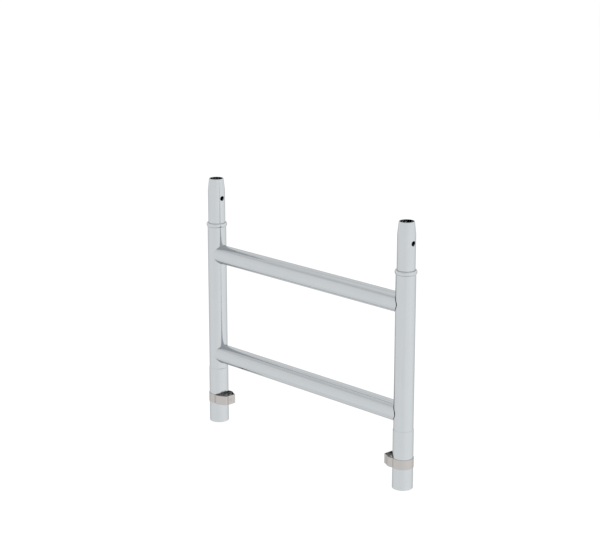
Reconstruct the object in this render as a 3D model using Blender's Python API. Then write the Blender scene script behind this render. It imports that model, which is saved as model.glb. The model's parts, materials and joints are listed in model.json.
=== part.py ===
"""Two-rung end frame of an aluminium scaffold tower, with its spigots, sockets and locking clips.

The frame stands in the X-Z plane. The origin is midway between the uprights, at the level of the
sockets' open ends. +X runs along the rungs and +Z runs up the uprights. Lengths are in metres.

Each upright ends below in an expanded socket and above in a spigot insert with a rolled bead. The
frame above stands on the bead, and the lock pin of its clip enters the hole in the spigot.
"""

import math

import bmesh
import bpy
from mathutils import Matrix, Vector

MM = 0.001
GAP = 0.3 * MM  # left between pieces that touch on the real frame

# The frame's main sizes
POST_SPACING = 680 * MM  # between the uprights' centre lines
RUNG_SPACING = 280 * MM
LOWER_RUNG_HEIGHT = 195 * MM
RUNG_HEIGHTS = {"lower": LOWER_RUNG_HEIGHT, "upper": LOWER_RUNG_HEIGHT + RUNG_SPACING}
STACK_HEIGHT = 561 * MM  # from one frame's foot to the foot of the frame above

# Tubes of the uprights and rungs
TUBE_RADIUS = 25 * MM
TUBE_WALL = 2 * MM
TUBE_BORE_RADIUS = TUBE_RADIUS - TUBE_WALL
EDGE_ROUND = 0.5 * MM  # rounding of a cut tube end

# Expanded socket at an upright's lower end
SOCKET_RADIUS = 26 * MM
SOCKET_BORE_RADIUS = SOCKET_RADIUS - TUBE_WALL
SOCKET_DEPTH = 153.6 * MM
SOCKET_CONE = 0.8 * MM  # height of the shoulder between socket and tube

# Spigot insert and its rolled bead, which carries the frame above
SPIGOT_RADIUS = 22.85 * MM
SPIGOT_BORE_RADIUS = 20 * MM
SPIGOT_LENGTH = 120 * MM
SPIGOT_TAPER = 31 * MM
SPIGOT_TIP_RADIUS = 19.3 * MM
SPIGOT_TIP_BORE_RADIUS = 17.4 * MM
LIP_ROUND = 1.3 * MM
INSERT_RADIUS = TUBE_BORE_RADIUS - GAP
INSERT_DEPTH = 90 * MM  # below the seat
BEAD_RADIUS = 27.6 * MM
BEAD_HEIGHT = 10 * MM
BEAD_LAND_RADIUS = 25.4 * MM  # outer edge of the flat land that the next socket stands on

# Lock pin and the holes that it enters
LOCK_HEIGHT = 68 * MM  # pin axis above a foot, and hole axis above a seat
SPIGOT_HOLE_RADIUS = 6.6 * MM
SOCKET_HOLE_RADIUS = 5.5 * MM
PIN_RADIUS = 5 * MM
PIN_TIP_X = 17 * MM  # from the upright's axis
PIN_TIP_CHAMFER = 1.5 * MM
TENON_RADIUS = 3 * MM
RIVET_HEAD_RADIUS = 3.9 * MM
RIVET_HEAD_HEIGHT = 0.5 * MM

# Clip strip, seen from above with its nose towards +X. Its outer face runs through these corners.
STRIP_HEIGHT = 25 * MM
STRIP_THICKNESS = 1 * MM
STRIP_GRIP_RADIUS = SOCKET_RADIUS + 0.2 * MM + STRIP_THICKNESS
STRIP_GRIP_HALF_ANGLE = math.radians(67)  # from the nose's direction to where the strip leaves the tube
STRIP_BULGE = (Vector((22.9, 28.5)) * MM, 17.8 * MM)  # corner and bend radius
STRIP_WAIST = (Vector((41.0, 18.3)) * MM, 2.5 * MM)
STRIP_SHOULDER_Y = 16.6 * MM
STRIP_SHOULDER_BEND = 3 * MM
STRIP_NOSE_X = 48 * MM
STRIP_LAP_GAP = 0.2 * MM
STRIP_LAP_HALF_WIDTH = 9.6 * MM
STRIP_HOLE_RADIUS = 3.3 * MM

# Weld beads round the rungs' ends
WELD_LEG = 1.8 * MM
WELD_SIDE_LEG = 0.9 * MM
WELD_CROWN = 0.2 * MM
WELD_SIDE_LIFT = 0.5 * MM  # how far the bead stands off the upright at the rung's sides

# Facets
ROUND_STEPS = 64
HOLE_STEPS = 32
PIN_STEPS = 32
WELD_STEPS = 48
GRIP_STEPS = 40
BEND_STEP = math.radians(9)
BEAD_STEP = math.radians(30)
LIP_STEP = math.radians(45)
HEAD_STEP = math.radians(30)
SHARP_ANGLE = math.radians(30)  # edges sharper than this are shaded as edges

# Sides of the frame: where each upright stands, and the turn that points its clip's nose inwards
POST_X = {"left": -POST_SPACING / 2, "right": POST_SPACING / 2}
INWARD_TURN = {"left": 0.0, "right": math.pi}


def clear_scene():
    for obj in list(bpy.data.objects):
        bpy.data.objects.remove(obj, do_unlink=True)


def metal(name, colour, roughness):
    material = bpy.data.materials.new(name)
    material.use_nodes = True
    surface = material.node_tree.nodes["Principled BSDF"]
    surface.inputs["Base Color"].default_value = (*colour, 1.0)
    surface.inputs["Metallic"].default_value = 1.0
    surface.inputs["Roughness"].default_value = roughness
    return material


def add_object(name, bm, material=None):
    """Turn a bmesh into a named object that is shaded smooth between its sharp edges."""
    bmesh.ops.remove_doubles(bm, verts=bm.verts, dist=0.001 * MM)
    bmesh.ops.recalc_face_normals(bm, faces=bm.faces)
    mesh = bpy.data.meshes.new(name)
    bm.to_mesh(mesh)
    bm.free()
    mesh.shade_smooth()
    mesh.set_sharp_from_angle(angle=SHARP_ANGLE)
    obj = bpy.data.objects.new(name, mesh)
    bpy.context.scene.collection.objects.link(obj)
    if material:
        mesh.materials.append(material)
    return obj


def turned(outline, steps=ROUND_STEPS, closed=True):
    """Spin an outline of (radius, height) points about Z. An open outline starts and ends on the axis."""
    bm = bmesh.new()
    verts = [bm.verts.new((radius, 0, height)) for radius, height in outline]
    edges = [bm.edges.new(pair) for pair in zip(verts, verts[1:])]
    if closed:
        edges.append(bm.edges.new((verts[-1], verts[0])))
    bmesh.ops.spin(
        bm,
        geom=verts + edges,
        cent=(0, 0, 0),
        axis=(0, 0, 1),
        angle=2 * math.pi,
        steps=steps,
        use_merge=True,
    )
    return bm


def swept(sections, closed):
    """Join equal sections, each a loop of points, into one body. An open sweep gets flat ends."""
    bm = bmesh.new()
    rings = [[bm.verts.new(point) for point in section] for section in sections]
    following = rings[1:] + rings[:1] if closed else rings[1:]
    for ring, after in zip(rings, following):
        for i, vert in enumerate(ring):
            j = (i + 1) % len(ring)
            bm.faces.new((vert, ring[j], after[j], after[i]))
    if not closed:
        bm.faces.new(rings[0])
        bm.faces.new(reversed(rings[-1]))
    return bm


def rounded_corner(corner, before, after, radius):
    """Points of the arc that rounds a corner of a plan outline."""
    back = (before - corner).normalized()
    ahead = (after - corner).normalized()
    turn = math.pi - back.angle(ahead)
    reach = radius * math.tan(turn / 2)
    centre = corner + (back + ahead).normalized() * radius / math.cos(turn / 2)
    start = corner + back * reach - centre
    steps = max(2, math.ceil(turn / BEND_STEP))
    way = 1 if back.cross(ahead) < 0 else -1
    return [centre + Matrix.Rotation(way * turn * i / steps, 2) @ start for i in range(steps + 1)]


def offset_points(points, distance):
    """A plan outline moved sideways, to the right of its own direction."""
    moved = []
    for i, point in enumerate(points):
        into = (point - points[max(i - 1, 0)]).normalized()
        out = (points[min(i + 1, len(points) - 1)] - point).normalized()
        along = (into + out).normalized()
        half_turn = (into.angle(out) if into.length and out.length else 0.0) / 2
        moved.append(point + Vector((along.y, -along.x)) * distance / math.cos(half_turn))
    return moved


def add_cutter(target, name, bm, matrix):
    """Cut a hidden shape out of an object."""
    cutter = add_object(name, bm)
    cutter.matrix_world = matrix
    cutter.hide_render = True
    cutter.display_type = "WIRE"
    cut = target.modifiers.new(name, "BOOLEAN")
    cut.operation = "DIFFERENCE"
    cut.solver = "EXACT"
    cut.object = cutter


def rod(radius, half_length, steps):
    outline = [(0, -half_length), (radius, -half_length), (radius, half_length), (0, half_length)]
    return turned(outline, steps, closed=False)


def along_x(x, z):
    """Placement of a turned shape whose own Z runs along X."""
    return Matrix.Translation((x, 0, z)) @ Matrix.Rotation(math.pi / 2, 4, "Y")


def on_post(side, height):
    """Placement on an upright's axis, with X pointing at the other upright."""
    return Matrix.Translation((POST_X[side], 0, height)) @ Matrix.Rotation(INWARD_TURN[side], 4, "Z")


def quarter_arc(radius, height, reach_out, reach_up, step):
    """Outline points round a quarter turn, from level with the centre to straight above it."""
    steps = round(math.pi / 2 / step)
    angles = [math.pi / 2 * i / steps for i in range(steps + 1)]
    return [(radius + reach_out * math.cos(a), height + reach_up * math.sin(a)) for a in angles]


def add_upright(side, material):
    top = STACK_HEIGHT - BEAD_HEIGHT - GAP
    cone_top = SOCKET_DEPTH + SOCKET_CONE
    outline = [
        (SOCKET_BORE_RADIUS, 0),
        (SOCKET_RADIUS - EDGE_ROUND, 0),
        (SOCKET_RADIUS, EDGE_ROUND),
        (SOCKET_RADIUS, SOCKET_DEPTH),
        (TUBE_RADIUS, cone_top),
        (TUBE_RADIUS, top),
        (TUBE_BORE_RADIUS, top),
        (TUBE_BORE_RADIUS, cone_top),
        (SOCKET_BORE_RADIUS, SOCKET_DEPTH),
    ]
    upright = add_object(f"{side}_upright", turned(outline), material)
    upright.location.x = POST_X[side]
    hole = rod(SOCKET_HOLE_RADIUS, SOCKET_RADIUS / 2, HOLE_STEPS)
    add_cutter(upright, f"{side}_socket_hole", hole, on_post(side, LOCK_HEIGHT) @ along_x(SOCKET_RADIUS, 0))


def bead_outline():
    """Rolled bead from its underside to the outer edge of the seat, rounded as an arc in between."""
    middle = STACK_HEIGHT - BEAD_HEIGHT / 2
    swell = BEAD_RADIUS - BEAD_LAND_RADIUS
    upper = quarter_arc(BEAD_LAND_RADIUS, middle, swell, BEAD_HEIGHT / 2, BEAD_STEP)
    lower = quarter_arc(BEAD_LAND_RADIUS, middle, swell, -BEAD_HEIGHT / 2, BEAD_STEP)
    return [*reversed(lower), *upper[1:]]


def add_spigot(side, material):
    top = STACK_HEIGHT + SPIGOT_LENGTH
    taper_start = top - SPIGOT_TAPER
    bead_foot = STACK_HEIGHT - BEAD_HEIGHT
    insert_end = STACK_HEIGHT - INSERT_DEPTH
    outline = [
        (SPIGOT_BORE_RADIUS, insert_end),
        (INSERT_RADIUS - EDGE_ROUND, insert_end),
        (INSERT_RADIUS, insert_end + EDGE_ROUND),
        (INSERT_RADIUS, bead_foot),
        *bead_outline(),
        (SPIGOT_RADIUS, STACK_HEIGHT),
        (SPIGOT_RADIUS, taper_start),
        *quarter_arc(SPIGOT_TIP_RADIUS - LIP_ROUND, top - LIP_ROUND, LIP_ROUND, LIP_ROUND, LIP_STEP),
        (SPIGOT_TIP_BORE_RADIUS, top),
        (SPIGOT_BORE_RADIUS, taper_start),
    ]
    spigot = add_object(f"{side}_spigot", turned(outline), material)
    spigot.location.x = POST_X[side]
    hole = rod(SPIGOT_HOLE_RADIUS, 2 * SPIGOT_RADIUS, HOLE_STEPS)
    add_cutter(spigot, f"{side}_spigot_hole", hole, along_x(POST_X[side], STACK_HEIGHT + LOCK_HEIGHT))


def add_rung(level, material):
    half = POST_SPACING / 2
    outline = [
        (TUBE_BORE_RADIUS, -half),
        (TUBE_RADIUS, -half),
        (TUBE_RADIUS, half),
        (TUBE_BORE_RADIUS, half),
    ]
    rung = add_object(f"{level}_rung", turned(outline), material)
    height = RUNG_HEIGHTS[level]
    rung.matrix_world = along_x(0, height)
    for side in POST_X:
        cope = rod(TUBE_RADIUS + GAP, 2 * TUBE_RADIUS, ROUND_STEPS)
        add_cutter(rung, f"{level}_{side}_cope", cope, on_post(side, height))


def weld_sections():
    """Sections of a fillet round a rung's end, with the upright's axis at the origin and the rung along +X.

    The root of the fillet follows the seam of the two tubes. Its legs lie on the tubes' surfaces.
    """
    offset = TUBE_RADIUS + GAP
    half_step = math.pi / WELD_STEPS

    def seam(angle):
        across = offset * math.sin(angle)
        reach = offset + WELD_SIDE_LIFT * math.sin(angle) ** 2
        return Vector((math.sqrt(reach**2 - across**2), across, offset * math.cos(angle)))

    sections = []
    for i in range(WELD_STEPS):
        angle = 2 * math.pi * i / WELD_STEPS
        root = seam(angle)
        along = (seam(angle + half_step) - seam(angle - half_step)).normalized()
        from_post = Vector((root.x, root.y, 0)).normalized()
        from_rung = Vector((0, root.y, root.z)).normalized()
        up_post = along.cross(from_post).normalized()
        if up_post.dot(from_rung) < 0:
            up_post.negate()
        up_rung = along.cross(from_rung).normalized()
        if up_rung.dot(from_post) < 0:
            up_rung.negate()
        leg = WELD_SIDE_LEG + (WELD_LEG - WELD_SIDE_LEG) * math.cos(angle) ** 2
        post_toe = root + up_post * leg
        radial = Vector((post_toe.x, post_toe.y, 0))
        post_toe += radial.normalized() * (root.xy.length - radial.length)
        rung_toe = root + up_rung * leg
        radial = Vector((0, rung_toe.y, rung_toe.z))
        rung_toe += radial.normalized() * (offset - radial.length)
        outward = (from_post + from_rung).normalized()
        crown = (post_toe + rung_toe) / 2 + outward * WELD_CROWN
        sections.append([root, post_toe, crown, rung_toe])
    return sections


def add_weld(level, side, material):
    weld = add_object(f"{level}_{side}_weld", swept(weld_sections(), closed=True), material)
    weld.matrix_world = on_post(side, RUNG_HEIGHTS[level])


def wing(nose_x):
    """Plan points of one wing's outer face, from its lap's start on the nose back to the tube."""
    bulge, bulge_bend = STRIP_BULGE
    waist, waist_bend = STRIP_WAIST
    shoulder = Vector((nose_x, STRIP_SHOULDER_Y))
    nose = Vector((nose_x, 0))
    grip = STRIP_GRIP_RADIUS * Vector((math.cos(STRIP_GRIP_HALF_ANGLE), math.sin(STRIP_GRIP_HALF_ANGLE)))
    return [
        *rounded_corner(shoulder, nose, waist, STRIP_SHOULDER_BEND),
        *rounded_corner(waist, shoulder, bulge, waist_bend),
        *rounded_corner(bulge, waist, grip, bulge_bend),
    ]


def strip_outer_face():
    """Plan points of the strip's outer face, clockwise from the inner lap's end to the outer lap's end."""
    mirror = Matrix(((1, 0), (0, -1)))
    inner_nose_x = STRIP_NOSE_X - STRIP_THICKNESS - STRIP_LAP_GAP
    first_wing = [mirror @ point for point in wing(inner_nose_x)]
    last_wing = wing(STRIP_NOSE_X)[::-1]
    sweep = 2 * math.pi - 2 * STRIP_GRIP_HALF_ANGLE
    grip = []
    for i in range(GRIP_STEPS + 1):
        angle = -STRIP_GRIP_HALF_ANGLE - sweep * i / GRIP_STEPS
        grip.append(STRIP_GRIP_RADIUS * Vector((math.cos(angle), math.sin(angle))))
    start = Vector((inner_nose_x, STRIP_LAP_HALF_WIDTH))
    end = Vector((STRIP_NOSE_X, -STRIP_LAP_HALF_WIDTH))
    return [start, *first_wing, *grip, *last_wing, end]


def add_clip_strip(side, material):
    outer = strip_outer_face()
    inner = offset_points(outer, STRIP_THICKNESS)
    low = -STRIP_HEIGHT / 2
    high = STRIP_HEIGHT / 2
    sections = [
        [Vector((*a, low)), Vector((*a, high)), Vector((*b, high)), Vector((*b, low))]
        for a, b in zip(outer, inner)
    ]
    strip = add_object(f"{side}_clip_strip", swept(sections, closed=False), material)
    strip.matrix_world = on_post(side, LOCK_HEIGHT)
    hole = rod(STRIP_HOLE_RADIUS, 4 * STRIP_THICKNESS, HOLE_STEPS)
    add_cutter(strip, f"{side}_strip_hole", hole, strip.matrix_world @ along_x(STRIP_NOSE_X, 0))


def add_lock_pin(side, material):
    """The pin's origin is where its axis, which it slides along, meets the upright's axis."""
    shoulder = STRIP_NOSE_X - 2 * STRIP_THICKNESS - STRIP_LAP_GAP - GAP
    head = STRIP_NOSE_X + GAP
    outline = [
        (0, PIN_TIP_X),
        (PIN_RADIUS - PIN_TIP_CHAMFER, PIN_TIP_X),
        (PIN_RADIUS, PIN_TIP_X + PIN_TIP_CHAMFER),
        (PIN_RADIUS, shoulder),
        (TENON_RADIUS, shoulder),
        (TENON_RADIUS, head),
        *quarter_arc(0, head, RIVET_HEAD_RADIUS, RIVET_HEAD_HEIGHT, HEAD_STEP)[:-1],
        (0, head + RIVET_HEAD_HEIGHT),
    ]
    pin = add_object(f"{side}_lock_pin", turned(outline, PIN_STEPS, closed=False), material)
    pin.matrix_world = on_post(side, LOCK_HEIGHT) @ along_x(0, 0)


def main():
    clear_scene()
    aluminium = metal("mill_aluminium", (0.77, 0.79, 0.80), 0.32)
    weld_metal = metal("weld_aluminium", (0.72, 0.73, 0.74), 0.42)
    strip_steel = metal("strip_stainless", (0.62, 0.59, 0.57), 0.30)
    pin_steel = metal("plated_steel", (0.60, 0.61, 0.62), 0.35)
    for level in RUNG_HEIGHTS:
        add_rung(level, aluminium)
    for side in POST_X:
        add_upright(side, aluminium)
        add_spigot(side, aluminium)
        add_clip_strip(side, strip_steel)
        add_lock_pin(side, pin_steel)
        for level in RUNG_HEIGHTS:
            add_weld(level, side, weld_metal)


main()
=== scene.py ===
"""Looks of the two-rung scaffold end frame: fine meshes, metals, a white studio and a camera.

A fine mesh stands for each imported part. It is built in the part's own frame, with Z along its tube or pin,
and is then placed. Every vertex keeps its own-frame place as "grain", which the metals' patterns read, so
that a pattern runs along the tube that it is on. On a clip strip the grain is the place across its
thickness, across its height and along its bent length. Lengths are in metres.
"""

import json
import math

import bmesh
import bpy
from mathutils import Matrix, Vector


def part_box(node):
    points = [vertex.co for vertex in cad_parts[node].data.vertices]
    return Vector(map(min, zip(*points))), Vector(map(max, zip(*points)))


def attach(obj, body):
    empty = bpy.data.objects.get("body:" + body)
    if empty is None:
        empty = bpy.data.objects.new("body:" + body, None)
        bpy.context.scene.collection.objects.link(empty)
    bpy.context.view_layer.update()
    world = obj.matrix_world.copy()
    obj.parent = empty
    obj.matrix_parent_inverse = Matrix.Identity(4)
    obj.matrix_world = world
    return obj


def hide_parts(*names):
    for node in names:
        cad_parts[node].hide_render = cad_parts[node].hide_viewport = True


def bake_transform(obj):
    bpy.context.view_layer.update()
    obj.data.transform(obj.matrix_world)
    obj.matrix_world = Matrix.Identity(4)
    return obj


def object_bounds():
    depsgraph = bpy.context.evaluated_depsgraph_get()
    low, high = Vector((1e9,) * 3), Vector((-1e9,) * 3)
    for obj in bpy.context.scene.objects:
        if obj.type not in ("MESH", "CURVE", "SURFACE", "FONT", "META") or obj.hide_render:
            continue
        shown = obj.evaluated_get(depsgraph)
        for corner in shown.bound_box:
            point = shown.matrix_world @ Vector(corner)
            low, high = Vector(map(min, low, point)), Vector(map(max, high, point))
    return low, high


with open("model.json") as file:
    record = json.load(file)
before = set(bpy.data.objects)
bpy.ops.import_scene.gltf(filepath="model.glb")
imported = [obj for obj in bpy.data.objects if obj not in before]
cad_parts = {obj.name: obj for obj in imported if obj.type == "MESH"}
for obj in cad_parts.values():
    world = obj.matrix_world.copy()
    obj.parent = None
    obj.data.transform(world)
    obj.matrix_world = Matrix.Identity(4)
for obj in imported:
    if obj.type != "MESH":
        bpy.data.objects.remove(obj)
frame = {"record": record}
CAD_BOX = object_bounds()

MM = 0.001
X, Y, Z = range(3)


# ---------------------------------------------------------------- sizes and places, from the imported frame


def extent(node, axis):
    low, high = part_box(node)
    return low[axis], high[axis]


def middle(node, axis):
    return sum(extent(node, axis)) / 2


def half_width(node, axis):
    low, high = extent(node, axis)
    return (high - low) / 2


SIDES = {"left": 0.0, "right": math.pi}  # the turn that points a clip's nose at the other upright
LEVELS = ("lower", "upper")
POST_X = {side: middle(f"{side}_upright", X) for side in SIDES}
RUNG_Z = {level: middle(f"{level}_rung", Z) for level in LEVELS}
HALF_SPACING = (POST_X["right"] - POST_X["left"]) / 2

TUBE_RADIUS = half_width("lower_rung", Y)
SOCKET_RADIUS = half_width("left_upright", Y)
UPRIGHT_TOP = extent("left_upright", Z)[1]
BEAD_RADIUS = half_width("left_spigot", Y)
INSERT_END, SPIGOT_TOP = extent("left_spigot", Z)
SEAT_Z = next(m["pos_m"][Z] for m in frame["record"]["mounts"] if m["name"] == "left_seat")
LOCK_Z = middle("left_lock_pin", Z)
PIN_RADIUS = half_width("left_lock_pin", Y)
PIN_TIP = extent("left_lock_pin", X)[0] - POST_X["left"]
GRIP_RADIUS = POST_X["left"] - extent("left_clip_strip", X)[0]
NOSE_X = extent("left_clip_strip", X)[1] - POST_X["left"]
STRIP_HEIGHT = 2 * half_width("left_clip_strip", Z)


# ---------------------------------------------------------------- sizes that the frame's boxes don't give


# Tubes
TUBE_WALL = 2 * MM
TUBE_BORE = TUBE_RADIUS - TUBE_WALL
SOCKET_BORE = SOCKET_RADIUS - TUBE_WALL
SOCKET_DEPTH = 153.6 * MM
SOCKET_CONE = 0.8 * MM  # height over which the socket narrows to the tube
CONE_BEND = 0.3 * MM
EDGE_ROUND = 0.6 * MM
FIT_GAP = 0.03 * MM  # keeps pieces that meet just apart
COPE_RADIUS = 27.2 * MM  # wider than the upright, so that a crescent stays open at each side of the rung

# Spigot
SPIGOT_RADIUS = 22.85 * MM
SPIGOT_BORE = 20 * MM
INSERT_RADIUS = 22.7 * MM
SPIGOT_TAPER = 31 * MM
SPIGOT_TIP_RADIUS = 19.3 * MM
SPIGOT_TIP_BORE = 17.4 * MM
TAPER_BEND = 25 * MM
LIP_ROUND = 1.3 * MM
LIP_INNER_ROUND = 0.3 * MM
BEAD_HEIGHT = 10 * MM
BEAD_LAND = 25.4 * MM  # radius where the bead's round side starts and ends
SEAT_BEND = 0.2 * MM

# Holes for the lock pin
SOCKET_HOLE = 5.5 * MM
SPIGOT_HOLE = 6.6 * MM
RIM_ROUND = 0.2 * MM
RIM_COLLAR = 0.3 * MM

# Clip strip, seen from above with its nose towards +X. Its outer face bends at the corners.
STRIP_THICKNESS = 1 * MM
STRIP_EDGE = 0.3 * MM
GRIP_HALF_ANGLE = math.radians(67)
GRIP_BEND = 1.5 * MM
BULGE = (22.9 * MM, 28.5 * MM, 17.8 * MM)  # a corner is x, y and bend radius
WAIST = (41.0 * MM, 18.3 * MM, 2.5 * MM)
SHOULDER_Y = 16.6 * MM
SHOULDER_BEND = 3 * MM
LAP_GAP = 0.2 * MM
LAP_HALF_WIDTH = 9.6 * MM
STRIP_HOLE = 3.3 * MM
STRIP_WINDOW = 5 * MM  # half the side of the square in which a lap's hole is cut
STRIP_WINDOW_ROWS = tuple(STRIP_WINDOW * share for share in (-1, -0.5, 0, 0.5, 1))

# Lock pin
PIN_CHAMFER = 1.5 * MM
TENON_RADIUS = 3 * MM
HEAD_RADIUS = 3.9 * MM
HEAD_THICKNESS = 0.5 * MM
HEAD_GAP = 0.05 * MM
PIN_EDGE = 0.3 * MM

# Welds
WELD_LEG = 1.5 * MM  # at the rung's top and bottom
WELD_SIDE_LEG = 0.3 * MM
WELD_CROWN = -0.2 * MM  # below 0, because the bead's face is hollow
WELD_SINK = 1.6 * MM  # how far below the rung's surface the bead lies at the rung's sides
WELD_RIPPLE = 0.06 * MM
WELD_RIPPLES = 76
RIPPLE_PEAK = 0.25  # the most that sqrt(x) - x reaches, which is the shape of a ripple
WELD_WANDER = ((5, 0.05, 1), (11, 0.04, 2))  # waves round the bead, share of the leg, times the phase


# ---------------------------------------------------------------- settings of the meshes, metals and studio


# Fineness of the meshes
TUBE_STEPS = 128
WINDOW_STEPS = 7  # half the tube steps that a hole's window spans
WINDOW_SINE = math.sin(2 * math.pi * WINDOW_STEPS / TUBE_STEPS)  # half a window's width, in tube radii
RIM_STEPS = 4
BEAD_STEPS = 16
PIN_STEPS = 64
WELD_STEPS_PER_RIPPLE = 6
WELD_CROWN_STEPS = 6
BEND_DEGREES = 8
STRIP_BEND_DEGREES = 6
STRIP_EDGE_DEGREES = 25
GRIP_DEGREES = 3
SHARP_ANGLE = math.radians(40)

# Metals. A pattern's scale is its features per metre across, across and along the piece.
ALUMINIUM = (0.601, 0.631, 0.652)
WELD_ALUMINIUM = (0.42, 0.44, 0.455)
STAINLESS = (0.533, 0.513, 0.497)
ZINC_PLATE = (0.50, 0.485, 0.47)
GRAZING_SHARE = 0.6  # of the light, which a metal reflects where it turns away from the eye
DRAWN_LINES = (1100, 1100, 7)
DRAWN_BANDS = (300, 300, 3)
FINE_LINES = (4200, 4200, 30)
CLOUDS = (34, 34, 20)
SCRATCHES = (2600, 2600, 45)
SCRATCH_TILT = (0.5, 0.35, 0.0)  # radians about each axis
SCRATCH_LIMITS = (0.70, 0.76)  # of the noise, from no scratch to a full one
SCRATCHED_PATCHES = (60, 60, 60)
PATCH_LIMITS = (0.52, 0.66)  # from a clean patch to a scratched one
CLOUD_ROUGHNESS = 0.05
LINE_ROUGHNESS = 0.07
SCRATCH_ROUGHNESS = 0.12
FINE_RELIEF = 0.5  # against the drawn lines' height
SCRATCH_RELIEF = -0.8

# Painted shade in the inside bends where a clip strip leaves the socket: the strip's colour is darkened there
CREASE_SHADE_REACH = 1.6 * MM
CREASE_PAINTED_SHADE = 0.25

# Tent. Its brightness goes by height, from straight below (0) to straight overhead (1), and is changed on
# three sides. A side is a direction of about unit length. Its limits are cosines of the angle away from it,
# and other limits and heights are sines of the height above the horizon.
TENT_BANDS = (
    (0.0, 0.9),
    (0.14, 0.96),
    (0.19, 0.95),
    (0.22, 1.0),
    (0.5, 0.98),
    (0.6, 0.955),
    (0.77, 0.91),
    (0.81, 0.72),
    (0.86, 0.74),
    (0.88, 0.86),
)
KEY_SIDE = (0.87, 0.48, 0.0)
KEY_START = 0.27  # the tent is brighter where it is nearer to the side than this, and darker elsewhere
KEY_LEAST = -0.2  # which limits how much darker
KEY_GAIN = 0.11
FAR_SIDE = (-0.75, 0.66, 0.0)
FAR_LIMITS = (0.3, 0.65)
FAR_GAIN = 0.16
FAR_GAP_HEIGHT = -0.35  # where the far side's gain fades out
FAR_GAP_REACH = 0.3
OPENING_SIDE = (0.34, -0.94, 0.0)
OPENING_LIMITS = (0.80, 0.94)
OPENING_FOOT = (0.20, 0.235)  # limits between which the dark opening starts
OPENING_HEAD = (0.26, 0.28)  # and between which it ends
OPENING_DARKENING = 0.85

WHITE = (1.0, 1.0, 1.0, 1.0)
MIX_COLOUR_A = 6  # the Mix node's sockets are told apart by number, because several share a name
MIX_COLOUR_B = 7
MIX_COLOUR_RESULT = 2

# Floor, softbox and camera
FLOOR_REACH = 40.0
FLOOR_GREY = 0.12
FLOOR_ROUGHNESS = 0.9
FLOOR_GLOW = 0.9
FLOOR_GAP = 0.5 * MM
SOFTBOX_SIZE = 7.0
SOFTBOX_HEIGHT = 4.5
SOFTBOX_WATTS = 134.0
CAMERA_PLACE = (2.9182, -2.9011, 1.6197)
CAMERA_TILT = math.radians(74.696)
CAMERA_HEADING = math.radians(45.39)
CAMERA_LENS = 100.32  # millimetres, as is the sensor
CAMERA_SENSOR = 36.0
CAMERA_FAR_LIMIT = 200.0


# ---------------------------------------------------------------- meshes


def new_mesh():
    bm = bmesh.new()
    bm.verts.layers.float_vector.new("grain")
    return bm


def add_vert(bm, place, grain=None):
    vert = bm.verts.new(place)
    vert[bm.verts.layers.float_vector["grain"]] = Vector(grain or place)
    return vert


def bridge(bm, loop, after):
    """Quads between two closed loops with the same number of vertices."""
    for i, vert in enumerate(loop):
        j = (i + 1) % len(loop)
        bm.faces.new((vert, loop[j], after[j], after[i]))


def rounded(corners, closed, degrees=BEND_DEGREES):
    """Points along a line through corners (x, y, bend radius), with each bend drawn as an arc.

    degrees is the largest turn from one point of an arc to the next.
    """
    points = []
    for i, (x, y, radius) in enumerate(corners):
        corner = Vector((x, y))
        if not radius or (not closed and i in (0, len(corners) - 1)):
            points.append(corner)
            continue
        back = (Vector(corners[i - 1][:2]) - corner).normalized()
        ahead = (Vector(corners[(i + 1) % len(corners)][:2]) - corner).normalized()
        turn = math.pi - back.angle(ahead)
        centre = corner + (back + ahead).normalized() * radius / math.cos(turn / 2)
        start = corner + back * radius * math.tan(turn / 2) - centre
        steps = max(2, math.ceil(math.degrees(turn) / degrees))
        way = 1 if back.cross(ahead) < 0 else -1
        points += [centre + Matrix.Rotation(way * turn * k / steps, 2) @ start for k in range(steps + 1)]
    return points


def stretch(first, last):
    """Counts from first towards last, leaving last out, in either direction."""
    return range(first, last, 1 if last > first else -1)


def window_edge(rings, rows, columns):
    """The vertices round a window in a grid of rings."""
    count = len(rings[0])
    low, high = rows
    first, last = columns
    return (
        [rings[low][c % count] for c in stretch(first, last)]
        + [rings[r][last % count] for r in stretch(low, high)]
        + [rings[high][c % count] for c in stretch(last, first)]
        + [rings[r][first % count] for r in stretch(high, low)]
    )


def skin(bm, rings, closed, windows=()):
    """Quads between each ring and the next, with windows, each (rows, columns), left open."""
    count = len(rings[0])
    open_quads = {
        (r, c % count)
        for rows, columns in windows
        for r in range(min(rows), max(rows))
        for c in range(min(columns), max(columns))
    }
    for r in range(len(rings) if closed else len(rings) - 1):
        ring = rings[r]
        after = rings[(r + 1) % len(rings)]
        for c in range(count):
            if (r, c) not in open_quads:
                d = (c + 1) % count
                bm.faces.new((ring[c], ring[d], after[d], after[c]))


def turned_rings(bm, outline, steps):
    """One ring of vertices for each (radius, height) point of an outline."""
    rings = []
    for radius, height in outline:
        angles = [2 * math.pi * i / steps for i in range(steps)]
        rings.append([add_vert(bm, (radius * math.cos(a), radius * math.sin(a), height)) for a in angles])
    return rings


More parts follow.
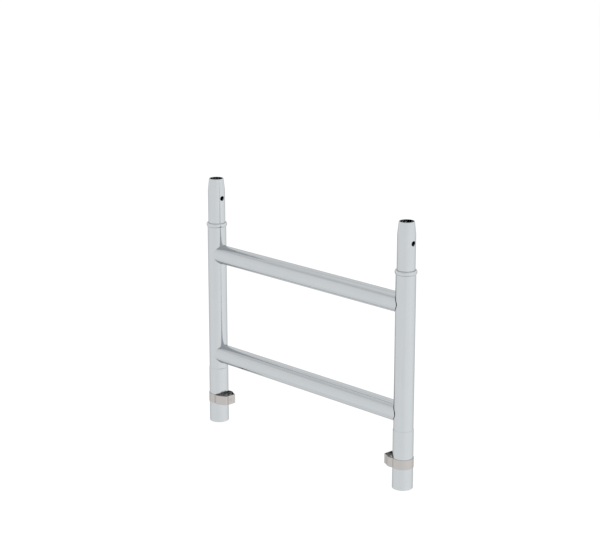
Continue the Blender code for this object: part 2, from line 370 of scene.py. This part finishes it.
def add_hole(bm, near_edge, far_edge, height, radius, near, far, facing=1, grain=Vector):
    """Fill the windows in a wall's two faces with a round hole along X, with softened rims.

    near and far give the X of the two faces at a distance across from the hole's axis. facing is 1, or -1
    for a wall on the side towards -X. grain gives a new vertex's grain from its place.
    """
    angles = [math.atan2(vert.co.z - height, vert.co.y) for vert in near_edge]

    def loop(reach, face, depth):
        places = []
        for angle in angles:
            across = reach * math.cos(angle)
            places.append((facing * (face(across) - depth), across, height + reach * math.sin(angle)))
        return [add_vert(bm, place, grain(place)) for place in places]

    def rim(face, way):
        loops = [loop(radius + RIM_ROUND + RIM_COLLAR, face, 0)]
        for i in range(RIM_STEPS + 1):
            turn = math.pi / 2 * i / RIM_STEPS
            reach = radius + RIM_ROUND * (1 - math.sin(turn))
            loops.append(loop(reach, face, way * RIM_ROUND * (1 - math.cos(turn))))
        return loops

    loops = [near_edge, *rim(near, 1), *reversed(rim(far, -1)), far_edge]
    for before, after in zip(loops, loops[1:]):
        bridge(bm, before, after)


def nearest(points, x, y):
    """The number of the point that is nearest to a place."""
    return min(range(len(points)), key=lambda i: (points[i] - Vector((x, y))).length)


def window_rows(radius, height, half_size, upwards):
    """Outline points of a straight wall, one for each row of a hole's window."""
    way = 1 if upwards else -1
    rows = range(-WINDOW_STEPS, WINDOW_STEPS + 1)
    return [(radius, height + way * half_size * row / WINDOW_STEPS, 0) for row in rows]


def tube_with_holes(outline, outer, inner, height, radius, half_size, facings):
    """A turned tube with round holes along X through its wall at one height."""
    bm = new_mesh()
    rings = turned_rings(bm, outline, TUBE_STEPS)
    outer_rows = tuple(nearest(outline, outer, height + end * half_size) for end in (-1, 1))
    inner_rows = tuple(nearest(outline, inner, height + end * half_size) for end in (-1, 1))
    windows = []
    for facing in facings:
        centre = 0 if facing > 0 else TUBE_STEPS // 2
        columns = (centre - WINDOW_STEPS, centre + WINDOW_STEPS)
        windows += [(outer_rows, columns), (inner_rows, columns)]
        add_hole(
            bm,
            window_edge(rings, outer_rows, columns),
            window_edge(rings, inner_rows, columns),
            height,
            radius,
            near=lambda across: math.sqrt(outer**2 - across**2),
            far=lambda across: math.sqrt(inner**2 - across**2),
            facing=facing,
        )
    skin(bm, rings, closed=True, windows=windows)
    return bm


def upright_mesh():
    """Tube with an expanded socket below, and the lock pin's hole through the side that the nose faces."""
    cone_top = SOCKET_DEPTH + SOCKET_CONE
    half_size = SOCKET_RADIUS * WINDOW_SINE
    outline = rounded(
        [
            (SOCKET_BORE, 0, EDGE_ROUND),
            (SOCKET_RADIUS, 0, EDGE_ROUND),
            *window_rows(SOCKET_RADIUS, LOCK_Z, half_size, upwards=True),
            (SOCKET_RADIUS, SOCKET_DEPTH, CONE_BEND),
            (TUBE_RADIUS, cone_top, CONE_BEND),
            (TUBE_RADIUS, UPRIGHT_TOP, EDGE_ROUND),
            (TUBE_BORE, UPRIGHT_TOP, EDGE_ROUND),
            (TUBE_BORE, cone_top, CONE_BEND),
            (SOCKET_BORE, SOCKET_DEPTH, CONE_BEND),
            *window_rows(SOCKET_BORE, LOCK_Z, half_size, upwards=False),
        ],
        closed=True,
    )
    return tube_with_holes(outline, SOCKET_RADIUS, SOCKET_BORE, LOCK_Z, SOCKET_HOLE, half_size, facings=(1,))


def spigot_mesh():
    """Insert, rolled bead, and tapered spigot with a cross hole through both walls."""
    hole_z = SEAT_Z + LOCK_Z
    taper = SPIGOT_TOP - SPIGOT_TAPER
    bead_foot = SEAT_Z - BEAD_HEIGHT
    swell = BEAD_RADIUS - BEAD_LAND
    bead = [
        (BEAD_LAND + swell * math.cos(a), bead_foot + BEAD_HEIGHT * (1 + math.sin(a)) / 2, 0)
        for a in (math.pi * (i / BEAD_STEPS - 0.5) for i in range(BEAD_STEPS + 1))
    ]
    half_size = SPIGOT_RADIUS * WINDOW_SINE
    outline = rounded(
        [
            (SPIGOT_BORE, INSERT_END, EDGE_ROUND),
            (INSERT_RADIUS, INSERT_END, EDGE_ROUND),
            (INSERT_RADIUS, bead_foot, 0),
            *bead,
            (SPIGOT_RADIUS, SEAT_Z, SEAT_BEND),
            *window_rows(SPIGOT_RADIUS, hole_z, half_size, upwards=True),
            (SPIGOT_RADIUS, taper, TAPER_BEND),
            (SPIGOT_TIP_RADIUS, SPIGOT_TOP, LIP_ROUND),
            (SPIGOT_TIP_BORE, SPIGOT_TOP, LIP_INNER_ROUND),
            (SPIGOT_BORE, taper, TAPER_BEND),
            *window_rows(SPIGOT_BORE, hole_z, half_size, upwards=False),
        ],
        closed=True,
    )
    return tube_with_holes(
        outline, SPIGOT_RADIUS, SPIGOT_BORE, hole_z, SPIGOT_HOLE, half_size, facings=(1, -1)
    )


def rung_mesh():
    """Tube along its own Z whose ends are coped to the uprights, which run along its own X."""
    bm = new_mesh()
    cope_centre = HALF_SPACING - TUBE_RADIUS - FIT_GAP + COPE_RADIUS

    def ring(radius, end):
        verts = []
        for i in range(TUBE_STEPS):
            angle = 2 * math.pi * i / TUBE_STEPS
            across = radius * math.sin(angle)
            reach = cope_centre - math.sqrt(COPE_RADIUS**2 - across**2)
            verts.append(add_vert(bm, (radius * math.cos(angle), across, end * reach)))
        return verts

    edges = ((TUBE_BORE, -1), (TUBE_RADIUS, -1), (TUBE_RADIUS, 1), (TUBE_BORE, 1))
    skin(bm, [ring(radius, end) for radius, end in edges], closed=True)
    return bm


def weld_seam(angle):
    """A point of the fillet's root, with the upright's axis along Z and the rung along +X."""
    post = TUBE_RADIUS + FIT_GAP
    rung = post - WELD_SINK * math.sin(angle) ** 2
    across = rung * math.sin(angle)
    return Vector((math.sqrt(post**2 - across**2), across, rung * math.cos(angle)))


def outward_from(axis, place):
    """The way from the line along an axis straight out to a place."""
    way = place.copy()
    way[axis] = 0
    return way


def weld_toe(root, along, axis, other_axis, leg):
    """Where a bead's leg ends on the tube along one axis. The bead's other tube is along the other axis."""
    out = outward_from(axis, root)
    up = along.cross(out.normalized()).normalized()
    if up.dot(outward_from(other_axis, root)) < 0:
        up.negate()
    toe = root + up * leg
    reach = outward_from(axis, toe)
    return toe + reach.normalized() * (out.length - reach.length)


def weld_mesh(phase):
    """Rippled fillet round a rung's end."""
    bm = new_mesh()
    count = WELD_RIPPLES * WELD_STEPS_PER_RIPPLE
    nudge = math.pi / count
    rings = []
    for i in range(count):
        angle = 2 * math.pi * i / count
        root = weld_seam(angle)
        along = (weld_seam(angle + nudge) - weld_seam(angle - nudge)).normalized()
        leg = WELD_SIDE_LEG + (WELD_LEG - WELD_SIDE_LEG) * math.cos(angle) ** 2
        leg *= 1 + sum(share * math.sin(waves * angle + times * phase) for waves, share, times in WELD_WANDER)
        on_post = weld_toe(root, along, Z, X, leg)
        on_rung = weld_toe(root, along, X, Z, leg)
        outward = (outward_from(Z, root).normalized() + outward_from(X, root).normalized()).normalized()
        step = (i % WELD_STEPS_PER_RIPPLE) / WELD_STEPS_PER_RIPPLE
        ripple = WELD_RIPPLE * (math.sqrt(step) - step) / RIPPLE_PEAK
        crown = (WELD_CROWN + ripple) * leg / WELD_LEG
        ring = [add_vert(bm, root)]
        for k in range(WELD_CROWN_STEPS + 1):
            share = k / WELD_CROWN_STEPS
            lift = outward * crown * math.sin(math.pi * share)
            ring.append(add_vert(bm, on_post.lerp(on_rung, share) + lift))
        rings.append(ring)
    skin(bm, rings, closed=True)
    return bm


def strip_path():
    """Plan points of the strip's outer face, clockwise from the inner lap's end to the outer lap's end."""
    inner_x = NOSE_X - STRIP_THICKNESS - LAP_GAP
    sweep = 2 * math.pi - 2 * GRIP_HALF_ANGLE
    steps = math.ceil(math.degrees(sweep) / GRIP_DEGREES)
    corners = [
        (inner_x, LAP_HALF_WIDTH, 0),
        *((inner_x, y, 0) for y in reversed(STRIP_WINDOW_ROWS)),
        (inner_x, -SHOULDER_Y, SHOULDER_BEND),
        *((x, -y, bend) for x, y, bend in (WAIST, BULGE)),
    ]
    for i in range(steps + 1):
        angle = -GRIP_HALF_ANGLE - sweep * i / steps
        bend = GRIP_BEND if i in (0, steps) else 0
        corners.append((GRIP_RADIUS * math.cos(angle), GRIP_RADIUS * math.sin(angle), bend))
    corners += [
        BULGE,
        WAIST,
        (NOSE_X, SHOULDER_Y, SHOULDER_BEND),
        *((NOSE_X, y, 0) for y in reversed(STRIP_WINDOW_ROWS)),
        (NOSE_X, -LAP_HALF_WIDTH, 0),
    ]
    return rounded(corners, closed=False, degrees=STRIP_BEND_DEGREES)


def strip_section():
    """Depth and height round the strip's cross-section, up the outer face and down the inner one."""
    half = STRIP_HEIGHT / 2
    return rounded(
        [
            (0, -half, STRIP_EDGE),
            *((0, height, 0) for height in STRIP_WINDOW_ROWS),
            (0, half, STRIP_EDGE),
            (STRIP_THICKNESS, half, STRIP_EDGE),
            *((STRIP_THICKNESS, height, 0) for height in reversed(STRIP_WINDOW_ROWS)),
            (STRIP_THICKNESS, -half, STRIP_EDGE),
        ],
        closed=True,
        degrees=STRIP_EDGE_DEGREES,
    )


def lengths_along(path):
    """How far along a path each of its points is."""
    lengths = [0.0]
    for before, after in zip(path, path[1:]):
        lengths.append(lengths[-1] + (after - before).length)
    return lengths


def strip_creases():
    """Places along the strip's outer face of the inside bends where it leaves the socket."""
    path = strip_path()
    lengths = lengths_along(path)
    x = GRIP_RADIUS * math.cos(GRIP_HALF_ANGLE)
    y = GRIP_RADIUS * math.sin(GRIP_HALF_ANGLE)
    return [lengths[nearest(path, x, way * y)] for way in (1, -1)]


def strip_mesh():
    """Sheet strip bent round the socket, its ends lapped on the nose, with the pin's hole through both."""
    bm = new_mesh()
    path = strip_path()
    lengths = lengths_along(path)
    section = strip_section()
    rings = []
    for i, point in enumerate(path):
        into = (point - path[max(i - 1, 0)]).normalized()
        out = (path[min(i + 1, len(path) - 1)] - point).normalized()
        along = (into + out).normalized()
        miter = 1 / math.cos((into.angle(out) if into.length and out.length else 0.0) / 2)
        inward = Vector((along.y, -along.x)) * miter
        ring = []
        for depth, height in section:
            place = point + inward * depth
            ring.append(add_vert(bm, (place.x, place.y, height), (depth, height, lengths[i])))
        rings.append(ring)
    outer = [nearest(section, 0, end * STRIP_WINDOW) for end in (-1, 1)]
    inner = [nearest(section, STRIP_THICKNESS, end * STRIP_WINDOW) for end in (-1, 1)]
    windows = []
    for lap_x in (NOSE_X, NOSE_X - STRIP_THICKNESS - LAP_GAP):
        rows = [nearest(path, lap_x, end * STRIP_WINDOW) for end in (1, -1)]
        centre = lengths[sum(rows) // 2]
        windows += [(rows, outer), (rows, inner)]
        add_hole(
            bm,
            window_edge(rings, rows, outer),
            window_edge(rings, rows, inner),
            0,
            STRIP_HOLE,
            near=lambda across, x=lap_x: x,
            far=lambda across, x=lap_x: x - STRIP_THICKNESS,
            grain=lambda place, x=lap_x, centre=centre: (x - place[X], place[Z], centre - place[Y]),
        )
    skin(bm, rings, closed=False, windows=windows)
    bm.faces.new(rings[0])
    bm.faces.new(reversed(rings[-1]))
    return bm


def pin_mesh():
    """Pin along its own Z: chamfered tip, shank, shoulder, tenon through the strip, and a peened head."""
    shoulder = NOSE_X - 2 * STRIP_THICKNESS - LAP_GAP - FIT_GAP
    head = NOSE_X + HEAD_GAP
    face = head + HEAD_THICKNESS
    outline = rounded(
        [
            (0, PIN_TIP, 0),
            (PIN_RADIUS - PIN_CHAMFER, PIN_TIP, PIN_EDGE),
            (PIN_RADIUS, PIN_TIP + PIN_CHAMFER, PIN_EDGE),
            (PIN_RADIUS, shoulder, PIN_EDGE),
            (TENON_RADIUS, shoulder, 0),
            (TENON_RADIUS, head, 0),
            (HEAD_RADIUS, head, 0),
            (HEAD_RADIUS, face, PIN_EDGE),
            (HEAD_RADIUS / 2, face, 0),
            (0, face, 0),
        ],
        closed=False,
    )
    bm = new_mesh()
    rings = turned_rings(bm, outline[1:-1], PIN_STEPS)
    skin(bm, rings, closed=False)
    for ring, (_, height) in ((rings[0], outline[0]), (rings[-1], outline[-1])):
        pole = add_vert(bm, (0, 0, height))
        for i, vert in enumerate(ring):
            bm.faces.new((pole, vert, ring[(i + 1) % PIN_STEPS]))
    return bm


def place_piece(name, bm, material, place, node, shift):
    """Turn a bmesh into the object that stands for a CAD node. The shift moves the pattern on the piece."""
    bmesh.ops.recalc_face_normals(bm, faces=bm.faces)
    grain = bm.verts.layers.float_vector["grain"]
    for vert in bm.verts:
        vert[grain] = vert[grain] + Vector((shift, shift, 0))
    mesh = bpy.data.meshes.new(name)
    bm.to_mesh(mesh)
    bm.free()
    mesh.shade_smooth()
    mesh.set_sharp_from_angle(angle=SHARP_ANGLE)
    mesh.materials.append(material)
    obj = bpy.data.objects.new(name, mesh)
    bpy.context.scene.collection.objects.link(obj)
    obj.matrix_world = place
    normals = obj.modifiers.new("weighted normals", "WEIGHTED_NORMAL")
    normals.keep_sharp = True
    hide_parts(node)
    return obj


# ---------------------------------------------------------------- metals


class Tree:
    """Short calls for building a node tree."""

    def __init__(self, tree):
        self.tree = tree

    def node(self, kind, inputs=None, **settings):
        made = self.tree.nodes.new(kind)
        for key, value in settings.items():
            setattr(made, key, value)
        for key, value in (inputs or {}).items():
            if isinstance(value, bpy.types.NodeSocket):
                self.tree.links.new(value, made.inputs[key])
            else:
                made.inputs[key].default_value = value
        return made

    def maths(self, operation, first, second=0.0, third=0.0):
        inputs = {0: first, 1: second, 2: third}
        return self.node("ShaderNodeMath", inputs, operation=operation).outputs[0]

    def vector(self, operation, first, second):
        return self.node("ShaderNodeVectorMath", {0: first, 1: second}, operation=operation).outputs[0]

    def noise(self, place, stretch_by, detail=2.0, roughness=0.5):
        """Noise whose features are stretched. The factors are features per metre along each axis."""
        where = self.vector("MULTIPLY", place, stretch_by)
        inputs = {"Vector": where, "Scale": 1.0, "Detail": detail, "Roughness": roughness}
        return self.node("ShaderNodeTexNoise", inputs).outputs["Fac"]

    def centred(self, value, reach):
        """A noise that runs from 0 to 1, moved and scaled to run from -reach to reach."""
        return self.maths("MULTIPLY", self.maths("SUBTRACT", value, 0.5), 2 * reach)

    def ramp(self, value, low, high):
        """0 below low, 1 above high, smooth between."""
        inputs = {"Value": value, "From Min": low, "From Max": high}
        return self.node("ShaderNodeMapRange", inputs, interpolation_type="SMOOTHSTEP").outputs[0]

    def total(self, *values):
        result = values[0]
        for value in values[1:]:
            result = self.maths("ADD", result, value)
        return result


def metal(name, colour, roughness, lines, clouds, scratches, bump, creases=()):
    """A metal with drawn lines and broader bands along the piece, cloudy tone, and sparse fine scratches.

    lines, clouds and scratches are the shares by which each one changes the tone. The bands change it by half
    of lines. bump is a height in metres. creases are the places along the piece where painted shade darkens
    the colour, in an inside bend.
    """
    material = bpy.data.materials.new(name)
    material.use_nodes = True
    tree = Tree(material.node_tree)
    surface = material.node_tree.nodes["Principled BSDF"]
    place = tree.node("ShaderNodeAttribute", attribute_name="grain").outputs["Vector"]
    drawn = tree.noise(place, DRAWN_LINES, detail=3)
    band = tree.noise(place, DRAWN_BANDS, detail=2)
    fine = tree.noise(place, FINE_LINES, detail=2)
    cloud = tree.noise(place, CLOUDS, detail=4, roughness=0.55)
    tilted = tree.node("ShaderNodeMapping", {"Vector": place, "Rotation": SCRATCH_TILT}).outputs[0]
    thin = tree.ramp(tree.noise(tilted, SCRATCHES, detail=1), *SCRATCH_LIMITS)
    sparse = tree.ramp(tree.noise(place, SCRATCHED_PATCHES, detail=1), *PATCH_LIMITS)
    scratch = tree.maths("MULTIPLY", thin, sparse)
    tone = tree.total(
        1.0,
        tree.centred(drawn, lines),
        tree.centred(band, lines / 2),
        tree.centred(cloud, clouds),
        tree.maths("MULTIPLY", scratch, scratches),
    )
    along = tree.node("ShaderNodeSeparateXYZ", {"Vector": place}).outputs["Z"]
    # Painted shade: the tone is darkened near each inside bend
    for crease in creases:
        away = tree.maths("ABSOLUTE", tree.maths("SUBTRACT", along, crease))
        unshaded = tree.ramp(away, 0.0, CREASE_SHADE_REACH)
        crease_shaded = tree.maths("MULTIPLY_ADD", unshaded, CREASE_PAINTED_SHADE, 1 - CREASE_PAINTED_SHADE)
        tone = tree.maths("MULTIPLY", tone, crease_shaded)
    tinted = tree.node("ShaderNodeVectorMath", {0: colour, "Scale": tone}, operation="SCALE").outputs[0]
    gloss = tree.total(
        roughness,
        tree.centred(cloud, CLOUD_ROUGHNESS),
        tree.centred(drawn, LINE_ROUGHNESS),
        tree.maths("MULTIPLY", scratch, SCRATCH_ROUGHNESS),
    )
    relief = tree.total(
        drawn,
        tree.maths("MULTIPLY", fine, FINE_RELIEF),
        tree.maths("MULTIPLY", scratch, SCRATCH_RELIEF),
    )
    raised = tree.node("ShaderNodeBump", {"Strength": 1.0, "Distance": bump, "Height": relief}).outputs[0]
    links = material.node_tree.links
    links.new(tinted, surface.inputs["Base Color"])
    links.new(gloss, surface.inputs["Roughness"])
    links.new(raised, surface.inputs["Normal"])
    surface.inputs["Metallic"].default_value = 1.0
    surface.inputs["Specular Tint"].default_value = (GRAZING_SHARE, GRAZING_SHARE, GRAZING_SHARE, 1.0)
    return material


def tube_aluminium(name, roughness):
    return metal(name, ALUMINIUM, roughness, lines=0.045, clouds=0.035, scratches=0.09, bump=0.0006 * MM)


def weld_aluminium():
    return metal(
        "weld_aluminium",
        WELD_ALUMINIUM,
        roughness=0.26,
        lines=0.03,
        clouds=0.05,
        scratches=0.02,
        bump=0.002 * MM,
    )


def rolled_stainless():
    return metal(
        "rolled_stainless",
        STAINLESS,
        roughness=0.20,
        lines=0.03,
        clouds=0.04,
        scratches=0.06,
        bump=0.0008 * MM,
        # painted shade in the strip's inside bends
        creases=strip_creases(),
    )


def plated_steel():
    return metal(
        "zinc_plated_steel",
        ZINC_PLATE,
        roughness=0.26,
        lines=0.03,
        clouds=0.06,
        scratches=0.05,
        bump=0.001 * MM,
    )


# ---------------------------------------------------------------- pieces


def build_object():
    """Every piece of the object, in its place, and every piece but the clip strips on its body."""
    tube = tube_aluminium("drawn_aluminium", roughness=0.15)
    insert = tube_aluminium("swaged_aluminium", roughness=0.12)
    weld = weld_aluminium()
    strip = rolled_stainless()
    pin = plated_steel()
    quarter_turn = Matrix.Rotation(math.pi / 2, 4, "Y")  # lays a piece's own Z along X
    for number, level in enumerate(LEVELS):
        place = Matrix.Translation((0, 0, RUNG_Z[level])) @ quarter_turn
        rung = place_piece(f"{level}_rung_tube", rung_mesh(), tube, place, f"{level}_rung", number)
        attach(rung, "frame")
    for number, (side, turn) in enumerate(SIDES.items()):
        post = Matrix.Translation((POST_X[side], 0, 0)) @ Matrix.Rotation(turn, 4, "Z")
        shift = len(LEVELS) + number
        upright = place_piece(f"{side}_upright_tube", upright_mesh(), tube, post, f"{side}_upright", shift)
        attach(upright, "frame")
        spigot = place_piece(f"{side}_spigot_insert", spigot_mesh(), insert, post, f"{side}_spigot", shift)
        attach(spigot, "frame")
        for level in LEVELS:
            place = post @ Matrix.Translation((0, 0, RUNG_Z[level]))
            node = f"{level}_{side}_weld"
            bead = place_piece(f"{node}_bead", weld_mesh(shift), weld, place, node, shift)
            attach(bead, "frame")
        lock = post @ Matrix.Translation((0, 0, LOCK_Z))
        pin_piece = place_piece(
            f"{side}_locking_pin", pin_mesh(), pin, lock @ quarter_turn, f"{side}_lock_pin", shift
        )
        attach(pin_piece, f"{side}_pin")
        clip = place_piece(f"{side}_locking_clip", strip_mesh(), strip, lock, f"{side}_clip_strip", shift)
        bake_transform(clip)


# ---------------------------------------------------------------- studio


def add_world():
    """A white tent. Its brightness changes a little with direction, which is what shapes the bare metal."""
    world = bpy.data.worlds.new("studio_tent")
    bpy.context.scene.world = world
    world.use_nodes = True
    tree = Tree(world.node_tree)
    background = world.node_tree.nodes["Background"]
    direction = tree.node("ShaderNodeTexCoord").outputs["Generated"]
    height = tree.node("ShaderNodeSeparateXYZ", {"Vector": direction}).outputs["Z"]

    def towards(side):
        """The cosine of the angle between the direction and a side."""
        inputs = {0: direction, 1: side}
        return tree.node("ShaderNodeVectorMath", inputs, operation="DOT_PRODUCT").outputs["Value"]

    lifted = tree.maths("MULTIPLY_ADD", height, 0.5, 0.5)
    bands = tree.node("ShaderNodeValToRGB", {"Fac": lifted})
    ramp = bands.color_ramp
    ramp.interpolation = "EASE"
    while len(ramp.elements) < len(TENT_BANDS):
        ramp.elements.new(0.5)
    for element, (position, value) in zip(ramp.elements, TENT_BANDS):
        element.position = position
        element.color = (value, value, value, 1.0)

    key = tree.maths("MAXIMUM", tree.maths("SUBTRACT", towards(KEY_SIDE), KEY_START), KEY_LEAST)
    keyed = tree.maths("MULTIPLY_ADD", key, KEY_GAIN, 1.0)

    from_gap = tree.maths("ABSOLUTE", tree.maths("ADD", height, -FAR_GAP_HEIGHT))
    off_gap = tree.ramp(from_gap, 0.0, FAR_GAP_REACH)
    far = tree.maths("MULTIPLY", tree.ramp(towards(FAR_SIDE), *FAR_LIMITS), off_gap)
    backed = tree.maths("MULTIPLY_ADD", far, FAR_GAIN, 1.0)

    level = tree.maths("SUBTRACT", tree.ramp(height, *OPENING_FOOT), tree.ramp(height, *OPENING_HEAD))
    inside = tree.maths("MULTIPLY", tree.ramp(towards(OPENING_SIDE), *OPENING_LIMITS), level)
    opening = tree.maths("MULTIPLY_ADD", inside, -OPENING_DARKENING, 1.0)

    factor = tree.maths("MULTIPLY", tree.maths("MULTIPLY", keyed, backed), opening)
    lit = tree.vector("MULTIPLY", bands.outputs[0], factor)
    seen = tree.node("ShaderNodeLightPath").outputs["Is Camera Ray"]
    colours = {0: seen, MIX_COLOUR_A: lit, MIX_COLOUR_B: WHITE}
    tent = tree.node("ShaderNodeMix", colours, data_type="RGBA")
    world.node_tree.links.new(tent.outputs[MIX_COLOUR_RESULT], background.inputs["Color"])


def add_floor():
    mesh = bpy.data.meshes.new("floor")
    corners = [(x * FLOOR_REACH, y * FLOOR_REACH, 0) for x, y in ((-1, -1), (1, -1), (1, 1), (-1, 1))]
    mesh.from_pydata(corners, [], [(0, 1, 2, 3)])
    material = bpy.data.materials.new("pale_floor")
    material.use_nodes = True
    surface = material.node_tree.nodes["Principled BSDF"]
    surface.inputs["Base Color"].default_value = (FLOOR_GREY, FLOOR_GREY, FLOOR_GREY, 1.0)
    surface.inputs["Roughness"].default_value = FLOOR_ROUGHNESS
    surface.inputs["Specular IOR Level"].default_value = 0.0
    surface.inputs["Emission Color"].default_value = WHITE
    surface.inputs["Emission Strength"].default_value = FLOOR_GLOW
    mesh.materials.append(material)
    floor = bpy.data.objects.new("floor", mesh)
    bpy.context.scene.collection.objects.link(floor)
    floor.location.z = CAD_BOX[0].z - FLOOR_GAP
    floor.visible_glossy = False


def add_softbox():
    light = bpy.data.lights.new("overhead_softbox", "AREA")
    light.shape = "SQUARE"
    light.size = SOFTBOX_SIZE
    light.energy = SOFTBOX_WATTS
    softbox = bpy.data.objects.new("overhead_softbox", light)
    bpy.context.scene.collection.objects.link(softbox)
    softbox.location = (0, 0, SOFTBOX_HEIGHT)
    softbox.visible_glossy = False


def add_camera():
    lens = bpy.data.cameras.new("camera")
    lens.sensor_width = CAMERA_SENSOR
    lens.lens = CAMERA_LENS
    lens.clip_end = CAMERA_FAR_LIMIT
    camera = bpy.data.objects.new("camera", lens)
    bpy.context.scene.collection.objects.link(camera)
    camera.location = CAMERA_PLACE
    camera.rotation_euler = (CAMERA_TILT, 0.0, CAMERA_HEADING)
    bpy.context.scene.camera = camera


build_object()
add_world()
add_floor()
add_softbox()
add_camera()
bpy.context.scene.view_settings.view_transform = "Standard"
